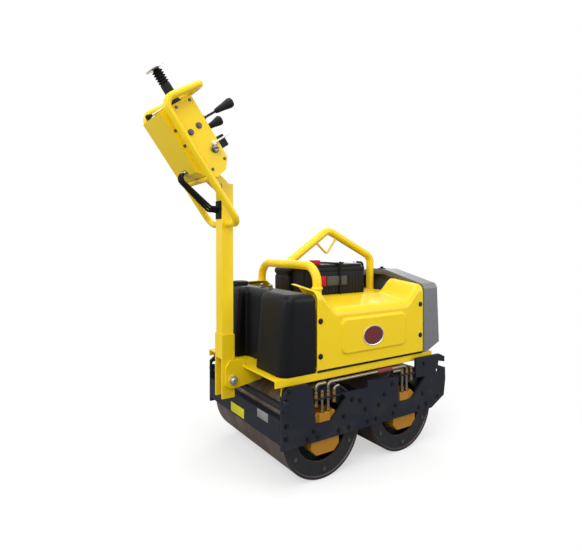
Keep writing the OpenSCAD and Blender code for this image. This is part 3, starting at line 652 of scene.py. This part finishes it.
def seat(name, mesh, slot, replaces=(), sharp=40.0, material=None, body="chassis"):
    """An object of a mesh in the scene, shaded, riding on its body."""
    obj = bpy.data.objects.new(name, mesh)
    bpy.context.scene.collection.objects.link(obj)
    mesh.materials.clear()
    mesh.materials.append(finish(material or slot))
    mesh.shade_smooth()
    mesh.set_sharp_from_angle(angle=math.radians(sharp))
    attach(obj, body)
    if replaces:
        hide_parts(*replaces)
    return obj


def thicken(obj, thickness, offset):
    """Gives a sheet its thickness."""
    sheet = obj.modifiers.new("sheet", "SOLIDIFY")
    sheet.thickness, sheet.offset = thickness * MM, offset


def edged(node, width, segments=2, limit=35.0):
    """A copy of a node with its sharp edges rounded: merged, its flat faces joined, then bevelled."""
    mesh = frame["nodes"][node].data.copy()
    bm = bmesh.new()
    bm.from_mesh(mesh)
    bmesh.ops.remove_doubles(bm, verts=bm.verts, dist=1e-5)
    bmesh.ops.dissolve_limit(bm, angle_limit=math.radians(0.6), verts=bm.verts, edges=bm.edges)
    bm.to_mesh(mesh)
    bm.free()
    obj = seat(node + "_finished", mesh, SLOT_OF[node], (node,), limit, body=BODY_OF[node])
    bevel = obj.modifiers.new("edges", "BEVEL")
    bevel.width, bevel.segments, bevel.limit_method = width, segments, "ANGLE"
    bevel.angle_limit, bevel.use_clamp_overlap, bevel.harden_normals = math.radians(limit), True, True


# Operators


class ROLLER_OT_stage(bpy.types.Operator):
    """Camera, floor and soft light"""
    bl_idname = "roller.stage"
    bl_label = "Stage"

    def pale_floor(self):
        """A pale floor that keeps a light shadow near the machine and turns white further out."""
        f = Finish("pale_floor")
        shown = f.node("ShaderNodeLightPath", out="Is Camera Ray")
        pale, bounce = (0.93, 0.93, 0.93, 1), (0.36, 0.36, 0.36, 1)
        f.set(Base_Color=f.mix(shown, bounce, pale), Roughness=0.95, Specular_IOR_Level=0.0)
        far = f.node("ShaderNodeVectorMath", {"operation": "LENGTH"}, {0: f.pos}, out=1).step(0.7, 1.9)
        white = f.node("ShaderNodeEmission", {}, {"Color": (1, 1, 1, 1), "Strength": 1.0})
        lit = Value(f, f.shader.outputs[0])
        both = f.node("ShaderNodeMixShader", {}, {0: (far * 0.45 + 0.55) * shown, 1: lit, 2: white})
        f.feed(f.tree.nodes["Material Output"].inputs["Surface"], both)
        return f.mat

    def sky(self, scene):
        """A white background; only its share FILL lights the machine."""
        scene.world = scene.world or bpy.data.worlds.new("studio")
        scene.world.use_nodes = True
        w = Nodes(scene.world.node_tree)
        rays = [w.node("ShaderNodeLightPath", out=o)
                for o in ("Is Camera Ray", "Is Glossy Ray", "Is Transmission Ray")]
        seen = rays[0].math("MAXIMUM", rays[1]).math("MAXIMUM", rays[2])
        background = w.tree.nodes["Background"]
        w.feed(background.inputs["Color"], (1, 1, 1, 1))
        w.feed(background.inputs["Strength"], seen * (1 - FILL) + FILL)

    def camera(self, scene):
        """A nearly level camera behind the machine, to its right."""
        cam = bpy.data.objects.new("camera", bpy.data.cameras.new("camera"))
        cam.data.sensor_width, cam.data.lens = 36.0, CAMERA_LENS
        cam.data.shift_x, cam.data.shift_y = CAMERA_SHIFT
        cam.location = CAMERA
        level = math.cos(CAMERA_PITCH)
        ahead = Vector((math.cos(CAMERA_YAW) * level, math.sin(CAMERA_YAW) * level, math.sin(CAMERA_PITCH)))
        cam.rotation_euler = ahead.to_track_quat("-Z", "Y").to_euler()
        scene.collection.objects.link(cam)
        scene.camera = cam

    def floor(self, scene):
        """One flat quad, a hair below the drums."""
        s = np.linspace(-FLOOR_HALF, FLOOR_HALF, 2)
        v, f = grid(np.stack(np.broadcast_arrays(s[:, None], s[None, :], FLOOR_Z), -1))
        mesh = bpy.data.meshes.new("floor")
        mesh.from_pydata(v.tolist(), [], f.tolist())
        mesh.materials.append(self.pale_floor())
        floor = bpy.data.objects.new("floor", mesh)
        scene.collection.objects.link(floor)

    def lamps(self, scene):
        """Soft square lamps that look at the machine."""
        for name, place, size, power in LAMPS:
            lamp = bpy.data.objects.new(name, bpy.data.lights.new(name, "AREA"))
            lamp.data.size, lamp.data.energy = size, power
            lamp.location = place
            lamp.rotation_euler = (LAMP_AIM - Vector(place)).to_track_quat("-Z", "Y").to_euler()
            scene.collection.objects.link(lamp)

    def execute(self, context):
        context.scene.view_settings.view_transform = "Standard"
        for part in (self.camera, self.floor, self.sky, self.lamps):
            part(context.scene)
        return {"FINISHED"}


class ROLLER_OT_cables(bpy.types.Operator):
    """Control cables from the box to the column, with nuts, boots and a gland"""
    bl_idname = "roller.cables"
    bl_label = "Control cables"

    def execute(self, context):
        rear, right = COL_X - COL_A / 2, CABLE_STEP * np.array([-1, 0, 1])
        starts, bows = (lean_point(CABLE_UP, right, BOX_OUT[0] - d) for d in (0, CABLE_OUT))
        ends = np.stack([np.full(3, rear), -right, CABLE_Z + CABLE_RISE * np.arange(3)], 1)
        runs = [sweep(filleted([start, bow, end - [CABLE_IN, 0, 0], end], CABLE_BEND), CABLE_R, 14)
                for start, bow, end in zip(starts, bows, ends)]
        piece("cable_runs", stack(*runs), "rubber", ("control_cables",), body="handle_body")
        piece("cable_nuts", copies(hex_head(7.5, 13, 1.12), starts, -OUT), "zinc", body="handle_body")
        boot = lathe([(0, 0), (9, 0), (9, 3), (7.6, 5), (6.8, 16), (5.6, 19), (0, 19)], 24)
        gland = rounded_box([rear - 5, -27, CABLE_Z - 34], [rear + 1, 27, CABLE_Z + 46], 2.4, 3)
        piece("cable_boots", stack(copies(boot, ends, [-1, 0, 0]), gland), "rubber", body="handle_body")
        return {"FINISHED"}


class ROLLER_OT_lines(bpy.types.Operator):
    """Hydraulic lines with their nuts and crimped collars"""
    bl_idname = "roller.lines"
    bl_label = "Hydraulic lines"

    def execute(self, context):
        crimp = [(0, 0), (8.6, 0), (9, 1), (9, 4), (7.6, 5), (7.6, 6), (9, 7), (9, 11), (8, 12), (0, 12)]
        fitting = stack(hex_head(9.6, 13, 1.08), copies(lathe(crimp, 20), [0, 0, 13]))
        for name, bulkhead, lines in LINES:
            routes = [[[x, LINE_Y, low], [x, LINE_Y, high]] + [[x + reach, LINE_Y, high]] * (reach != 0)
                      for x, low, high, reach in lines]
            piece(name + "_line_runs", stack(*[sweep(filleted(q, LINE_BEND), LINE_R, 18) for q in routes]),
                  "zinc", (name + "_hoses",))
            through = [[x, LINE_Y, bulkhead] for x, low, _, _ in lines if low < bulkhead]
            nuts = copies(fitting, [q[0] for q in routes] + through)
            piece(name + "_line_nuts", nuts, "zinc", material="brass")
        return {"FINISHED"}


class ROLLER_OT_finishes(bpy.types.Operator):
    """Give every solid of the frame its finish"""
    bl_idname = "roller.finishes"
    bl_label = "Finishes"

    def execute(self, context):
        for node, slot in SLOT_OF.items():
            materials = frame["nodes"][node].data.materials
            materials.clear()
            materials.append(finish(OTHER_FINISH.get(node, slot)))
        return {"FINISHED"}


class ROLLER_OT_edges(bpy.types.Operator):
    """Break the edges of cut plates, folded sheet and moulded parts"""
    bl_idname = "roller.edges"
    bl_label = "Broken edges"

    def execute(self, context):
        p = look()
        for node in ("side_plate_right", "side_plate_left", "rear_cross_beam", "front_cross_beam",
                     "upper_frame", "handle_column", "hose_brackets"):
            edged(node, p.plate_edge)
        for node in ("rear_carrier_right", "rear_carrier_left", "front_carrier_right", "front_carrier_left"):
            edged(node, 5 * MM)
        edged("control_box", 6 * MM, 3)
        for node in ("valve_block", "rear_drum", "front_drum"):
            edged(node, 4 * MM, 3)
        edged("front_hood", p.hood_edge, 4, 30.0)
        return {"FINISHED"}


class ROLLER_OT_panels(bpy.types.Operator):
    """Pressed side panels with a saddle and a raised field"""
    bl_idname = "roller.panels"
    bl_label = "Side panels"

    def execute(self, context):
        skin = panel_skin(look().ramp / MM)
        for side, surface in (("right", skin), ("left", mirrored(skin))):
            mesh = mesh_of("panel_" + side, surface)
            thicken(seat("pressed_panel_" + side, mesh, "yellow", ("side_panel_" + side,), 60), SHEET, -1.0)
        return {"FINISHED"}


class ROLLER_OT_tank(bpy.types.Operator):
    """Moulded water tank with soft edges and a recess for the handle, its ribbed cap and two studs"""
    bl_idname = "roller.tank"
    bl_label = "Water tank"

    def execute(self, context):
        wall = tank_wall(look().tank_edge / MM)
        piece("moulded_tank", wall, "tank_plastic", ("water_tank",), 50, closed=True)
        lo, hi = node_box("tank_caps")
        v, f = ribbed_cap()
        cap = v * (hi - lo) / [78, 78, 20], f
        piece("tank_lid", copies(cap, [*(lo + hi)[:2] / 2, lo[2]]), "black_plastic", ("tank_caps",), 35)
        stud = [(0, 0), (13, 0), (13, 2), (6, 3), (6, 8), (10, 9), (11, 13), (9, 17), (4, 19), (0, 19)]
        spots = [[TANK_HI[0] - 50, y, TANK_HI[2]] for y in (-40, 40)]
        piece("tank_studs", copies(lathe(stud, 20), spots), "zinc")
        return {"FINISHED"}


class ROLLER_OT_tubes(bpy.types.Operator):
    """Bent tubes: lifting hoop, arch and eye, and the handle's loop"""
    bl_idname = "roller.tubes"
    bl_label = "Bent tubes"

    def execute(self, context):
        foot = DECK_LO[2]
        legs = (-HOOP_Y, foot), (-HOOP_Y, HOOP_Z), (HOOP_Y, HOOP_Z), (HOOP_Y, foot)
        hoop = [[HOOP_X, y, z] for y, z in legs]
        arch = [[HOOP_X, 0, HOOP_Z], APEX, [ARCH_X, 0, ARCH_Z], [ARCH_X, 0, foot]]
        tubes = (hoop, HOOP_BEND, LIFT_R, 32), (arch, ARCH_BEND, LIFT_R, 32), (EYE, EYE_BEND, EYE_R, 16)
        piece("lifting_tubes", stack(*[sweep(filleted(q, bend), r, sides) for q, bend, r, sides in tubes]),
              "yellow", ("lifting_frame",))
        collar = lathe([(20, -8), (25, -8), (25, -2), (23, 2), (20.5, 4), (20, -8)], 32)
        feet = [[HOOP_X, -HOOP_Y, COLLAR_Z], [HOOP_X, HOOP_Y, COLLAR_Z], [ARCH_X, 0, DECK_HI[2] + 2]]
        piece("tube_collars", copies(collar, feet), "yellow")
        bend = lean_point(RAIL, LOOP_HALF, 0)
        grip = bend + RISER * np.array([math.cos(GRIP_RISE), 0, math.sin(GRIP_RISE)])
        right = np.array([[COL_X, -COL_B / 2, LOOP_Z], [COL_X, -LOOP_HALF, LOOP_Z], bend, grip])
        loop = np.concatenate([right, right[::-1] * [1, -1, 1]])
        tube = sweep(filleted(loop, LOOP_BEND), LOOP_R, 28)
        piece("handle_tube", tube, "yellow", ("handle_loop",), body="handle_body")
        return {"FINISHED"}


class ROLLER_OT_controls(bpy.types.Operator):
    """Levers, plunger, disc, switches and screws on the control box"""
    bl_idname = "roller.controls"
    bl_label = "Controls"

    def levers(self):
        """Travel and vibration lever: a ribbed boot, a rod and a swelling knob, turned about the rod."""
        boot = [(0, 0), (26, 0), (27, 4), (22, 9), (20, 12), (22, 15), (16, 20), (14, 24), (16, 27),
                (8, 33), (5, 34)]
        # Heights of the knob are shares of the lever's height
        knob = [(5, 0.5), (5, 0.48), (9, 0.5), (12, 0.56), (15, 0.7), (20, 0.86), (22, 0.93), (20, 0.985),
                (12, 1), (0, 1)]
        for name, up, right, h in LEVERS:
            turned = lathe(boot + [(r, h * k) for r, k in knob], 36)
            lever = copies(turned, lean_point(up, right, BOX_OUT[1]), OUT)
            piece(name + "_handle", lever, "black_plastic", (name,), 50, body="handle_body")

    def plunger(self):
        """Stop plunger: a smooth sleeve, a ribbed bellows above it, and a shallow dome."""
        fold = (17.0, 0), (23.5, 3.8), (23.5, 5.6), (17.0, 9.4)
        ribs = [(r, 96 + i * 11 + d) for i in range(5) for r, d in fold]
        sleeve = [(0, 0), (25, 0), (25, 10), (23, 14), (21, 16), (21, 91), (19, 93)]
        bellows = lathe(sleeve + ribs + [(14, 152), (14, 156), (0, 156)], 36)
        bellows = copies(bellows, lean_point(BOX_UP[1], 0, PLUNGER_OUT), ALONG)
        piece("plunger_bellows", bellows, "rubber", ("stop_plunger",), 50, body="handle_body")
        dome = lathe([(0, 0), (40, 0), (43.4, 1.2), (44, 3.0), (42.5, 5.0), (34, 6.2), (16, 6.9), (0, 7)], 56)
        dome = copies(dome, lean_point(PLUNGER_TOP, 0, PLUNGER_OUT), ALONG)
        piece("plunger_pad", dome, "bright_steel", ("plunger_disc",), 50, body="handle_body")

    def switches(self):
        """Buttons, key switch and the small valve lever on the box's right side."""
        button = lathe([(0, 0), (13, 0), (13, 2.2), (11, 3.2), (9.4, 3.2), (9.4, 5.4), (8, 6), (0, 6)], 28)
        up, out = np.array(BUTTONS, float).T
        piece("side_buttons", copies(button, lean_point(up, BOX_HALF, out), ACROSS), "black_plastic",
              ("box_buttons",), material="dull_bolt", body="handle_body")
        barrel = lathe([(0, 0), (18, 0), (18, 3), (15, 5), (13, 5), (13, 15), (11, 17), (0, 17)], 28)
        blade = rounded_box([-1.3, -7, 16], [1.3, 7, 34], 1.2, 3)
        up, out = KEY
        piece("key_switch", copies(stack(barrel, blade), lean_point(up, BOX_HALF, out), ACROSS),
              "bright_steel", material="zinc", body="handle_body")
        up, out = VALVE_LEVER
        rod = sweep(lean_point(up, BOX_HALF + 6, np.linspace(out - 4, out + 82, 8)), 3.6, 14)
        boss = lathe([(0, 0), (9, 0), (9, 8), (7, 10), (0, 10)], 24)
        piece("valve_lever", stack(rod, copies(boss, lean_point(up, BOX_HALF, out), ACROSS)), "bright_steel",
              material="label_white", body="handle_body")

    def throttle(self):
        """Throttle lever over the box's end, on its left: a bent rod and a swelling knob."""
        across, top = -BOX_HALF + 16, BOX_UP[1]
        tip = lean_point(top + 18, -BOX_HALF - 2, 24)
        rod = filleted([lean_point(top, across, 96), lean_point(top + 22, across, 96), tip], 8)
        piece("throttle_rod", sweep(rod, 3.2, 14), "bright_steel", body="handle_body")
        knob = lathe([(0, 0), (5, 0), (7, 4), (10, 12), (12, 20), (11, 26), (7, 30), (0, 31)], 28)
        piece("throttle_knob", copies(knob, tip + 8 * OUT, -OUT), "black_plastic", body="handle_body")

    def execute(self, context):
        self.levers()
        self.plunger()
        self.switches()
        self.throttle()
        up, out = np.array(BOX_SCREWS, float).T
        screws = [copies(hex_head(5, 4), lean_point(up, s * BOX_HALF, out), s * ACROSS) for s in (1, -1)]
        piece("box_screws", stack(*screws), "zinc", material="dull_bolt", body="handle_body")
        return {"FINISHED"}


class ROLLER_OT_cleaner(bpy.types.Operator):
    """Air cleaner: a moulded housing with a lid, ribs and two clips"""
    bl_idname = "roller.cleaner"
    bl_label = "Air cleaner"

    def execute(self, context):
        lo, hi = node_box("air_cleaner")
        split = hi[2] - LID_H
        shells = [rounded_box(lo, [hi[0], hi[1], split - 1.5], 14),
                  rounded_box([lo[0] - 2, lo[1] - 2, split], hi + [2, 2, 0], 14),
                  rounded_box([lo[0] + 5, lo[1] + 5, split - 20], [hi[0] - 5, hi[1] - 5, split + 20], 8)]
        ribs = [rounded_box([x - 3, lo[1] + 26, hi[2] - 3], [x + 3, hi[1] - 26, hi[2] + 2.5], 2.4, 2)
                for x in np.linspace(lo[0] + 26, hi[0] - 26, 7)]
        piece("cleaner_housing", stack(*shells, *ribs), "black_plastic", ("air_cleaner",))
        clips = [rounded_box([x - 9, hi[1] + 1, split - 26], [x + 9, hi[1] + 5, split + 18], 1.8, 3)
                 for x in (lo[0] + 44, hi[0] - 44)]
        piece("cleaner_clips", stack(*clips), "zinc")
        return {"FINISHED"}


class ROLLER_OT_battery(bpy.types.Operator):
    """Battery with lid, filler caps, terminals and a bare label"""
    bl_idname = "roller.battery"
    bl_label = "Battery"

    def case(self, lo, hi, lid):
        """The case with its lid in two steps and ribs down both long sides."""
        shells = [rounded_box(lo, [hi[0], hi[1], lid], 5),
                  rounded_box([lo[0] - 2, lo[1] - 2, lid - 2], [hi[0] + 2, hi[1] + 2, lid + 20], 5),
                  rounded_box([lo[0] + 8, lo[1] + 8, lid + 18], [hi[0] - 8, hi[1] - 8, hi[2]], 6)]
        ribs = [rounded_box([x - 3, s * hi[1] - 2, lo[2] + 4], [x + 3, s * hi[1] + 2, lid - 8], 1.8, 2)
                for s in (-1, 1) for x in np.linspace(lo[0] + 14, hi[0] - 14, 15)]
        piece("battery_case", stack(*shells, *ribs), "black_plastic", ("battery",))

    def execute(self, context):
        lo, hi = BATTERY_LO, BATTERY_HI
        lid, front = hi[2] - LID_H, lo[1] - 3.4
        self.case(lo, hi, lid)
        cap = lathe([(0, 0), (15, 0), (15, 3), (13, 5), (5, 5), (4, 4), (0, 4)], 24)
        row = [[x, 26, hi[2]] for x in np.linspace(lo[0] + 60, hi[0] - 60, 6)]
        piece("battery_caps", copies(cap, row), "black_plastic")
        post = lathe([(0, -4), (9, -4), (8.5, 12), (7.5, 13), (0, 13)], 24)
        piece("battery_post", copies(post, [hi[0] - 34, -52, hi[2]]), "bright_steel")
        cover = stack(rounded_box([lo[0] + 14, -76, hi[2] - 4], [lo[0] + 60, -34, hi[2] + 22], 7),
                      rounded_box([lo[0] - 8, -66, hi[2] - 30], [lo[0] + 24, -44, hi[2] + 12], 8))
        piece("terminal_cover", cover, "black_plastic", material="red_plastic")
        label = rounded_box([lo[0] + 88, front, lo[2] + 46], [lo[0] + 214, front + 2, lid - 24], 0.8, 2)
        piece("battery_label", label, "black_plastic", material="label_grey")
        tab = rounded_box([lo[0] + 34, front, lo[2] + 44], [lo[0] + 82, front + 2, lid - 22], 0.8, 2)
        piece("battery_tab", tab, "black_plastic", material="red_plastic")
        # Leads from the terminals down to the deck at both ends of the battery
        rear = [[lo[0] + 4, -55, hi[2] - 2], [lo[0] - 22, -55, hi[2] - 4], [lo[0] - 22, -40, DECK_HI[2]]]
        ahead = [[hi[0] - 34, -52, hi[2] + 8], [hi[0] + 24, -52, hi[2] + 4], [hi[0] + 24, -30, DECK_HI[2]]]
        leads = [sweep(filleted(q, bend), 5.5, 14) for q, bend in ((rear, 18), (ahead, 20))]
        piece("battery_leads", stack(*leads), "rubber")
        return {"FINISHED"}


class ROLLER_OT_bolts(bpy.types.Operator):
    """Bolt heads on the plates, drums, panels and handle bracket"""
    bl_idname = "roller.bolts"
    bl_label = "Bolts"

    def execute(self, context):
        x, z = PLATE_BOLTS.T
        head = hex_head(look().bolt_r / MM, 5)
        for s, side in ((-1, "right"), (1, "left")):
            spots = np.stack([x, np.full(len(x), s * PLATE_OUT), z], 1)
            piece("plate_bolts_" + side, copies(head, spots, [0, s, 0]), "dark_paint", material="black_bolt")
        a = np.radians(DRUM_BOLT_TURN + 360 / DRUM_BOLTS * np.arange(DRUM_BOLTS))
        end = np.full(DRUM_BOLTS, DRUM_BOLT_IN - DRUM_HALF)
        for name, x in (("rear", -AXLE_X), ("front", AXLE_X)):
            ring = np.stack([x + DRUM_BOLT_RING * np.cos(a), end, DRUM_R + DRUM_BOLT_RING * np.sin(a)], 1)
            piece(name + "_drum_bolts", both_sides(hex_head(8, 6.5), ring), "drum_steel",
                  material="dull_bolt", body=name + "_drum_body")
        spots = [[x, -PANEL_Y, z] for x, z in PANEL_BOLTS]
        piece("panel_bolts", both_sides(hex_head(8.5, 6, 1.5), spots), "dark_paint")
        lo, hi = node_box("pivot_pin")
        x, _, z = (lo + hi) / 2
        piece("pivot_nuts", both_sides(hex_head(11, 9, 1.3), [x, lo[1], z]), "zinc", material="bright_steel",
              body=BODY_OF["pivot_pin"])
        return {"FINISHED"}


class ROLLER_OT_trim(bpy.types.Operator):
    """Turned-in rim and latch of the hood, painted shadow strips under the panels, and bosses on the plates' rear
    corners
    """
    bl_idname = "roller.trim"
    bl_label = "Trim"

    def execute(self, context):
        thicken(piece("hood_rim", rim_strip(), "grey_paint", sharp=50, body="hood_body"), 2.5, 0.0)
        x, top = HOOD_LO[0], HOOD_HI[2]
        latch = stack(rounded_box([x + 3, -34, top - 4], [x + 40, -6, top + 4], 3),
                      rounded_box([x + 10, -26, top + 2], [x + 30, -14, top + 13], 4))
        piece("hood_latch", latch, "grey_paint", material="black_plastic", body="hood_body")
        rear, ahead, foot = PANEL_LO[0] + 2, PANEL_HI[0] - 2, PANEL_LO[2]
        # Painted shade: black rubber strips along each panel's foot stand for the dark shadow line between panel
        # and frame
        strips = [rounded_box([rear, y - 4, foot - 6], [ahead, y + 4, foot + 5], 2.5, 3)
                  for y in (3 - PANEL_Y, PANEL_Y - 3)]
        piece("panel_seals", stack(*strips), "rubber")
        boss = lathe([(0, 0), (19, 0), (19, 3), (17, 5), (10, 5), (9, 3.5), (0, 3.5)], 32)
        piece("corner_bosses", both_sides(boss, [BOSS[0], -PLATE_OUT, BOSS[1]]), "dark_paint")
        return {"FINISHED"}


class ROLLER_OT_plates(bpy.types.Operator):
    """Bare plates: the right panel's oval badge, the beam's metal plate and a plain sticker"""
    bl_idname = "roller.plates"
    bl_label = "Bare plates"

    def execute(self, context):
        place = [BADGE[0], -PANEL_Y - FIELD_H, BADGE[1]]
        rim = [(0.9, 0), (1, 0), (1, 1.6), (0.98, 2.6), (0.93, 2.6), (0.9, 1.6), (0.9, 0)]
        field = [(0, 0), (0.91, 0), (0.91, 1.3), (0.7, 1.8), (0, 2.2)]
        for name, profile, metal in (("badge_rim", rim, "bright_steel"), ("badge_field", field, "enamel")):
            v, f = lathe(profile, 64)
            piece(name, copies((v * BADGE_SIZE, f), place, [0, -1, 0]), "yellow", material=metal)
        for name, y, z, high, edge, metal in BEAM_PLATES:
            plate = rounded_box([BEAM_REAR - high, y[0], z[0]], [BEAM_REAR + 0.2, y[1], z[1]], edge, 2)
            piece(name, plate, "dark_paint", material=metal)
        return {"FINISHED"}


OPERATORS = (
    ROLLER_OT_stage, ROLLER_OT_cables, ROLLER_OT_lines, ROLLER_OT_finishes, ROLLER_OT_edges,
    ROLLER_OT_panels, ROLLER_OT_tank, ROLLER_OT_tubes, ROLLER_OT_controls, ROLLER_OT_cleaner,
    ROLLER_OT_battery, ROLLER_OT_bolts, ROLLER_OT_trim, ROLLER_OT_plates)


class ROLLER_PT_dressing(bpy.types.Panel):
    """Lists the steps of the dressing"""
    bl_label = "Roller"
    bl_space_type = "VIEW_3D"
    bl_region_type = "UI"
    bl_category = "Roller"

    def draw(self, context):
        for operator in OPERATORS:
            self.layout.operator(operator.bl_idname)
        for key in RollerLook.__annotations__:
            self.layout.prop(context.scene.roller_look, key)


CLASSES = (RollerLook, *OPERATORS, ROLLER_PT_dressing)


def register():
    for cls in CLASSES:
        bpy.utils.register_class(cls)
    bpy.types.Scene.roller_look = bpy.props.PointerProperty(type=RollerLook)


def unregister():
    del bpy.types.Scene.roller_look
    for cls in reversed(CLASSES):
        bpy.utils.unregister_class(cls)


def main():
    register()
    for operator in OPERATORS:
        group, name = operator.bl_idname.split(".")
        getattr(getattr(bpy.ops, group), name)()


if __name__ == "__main__":
    main()
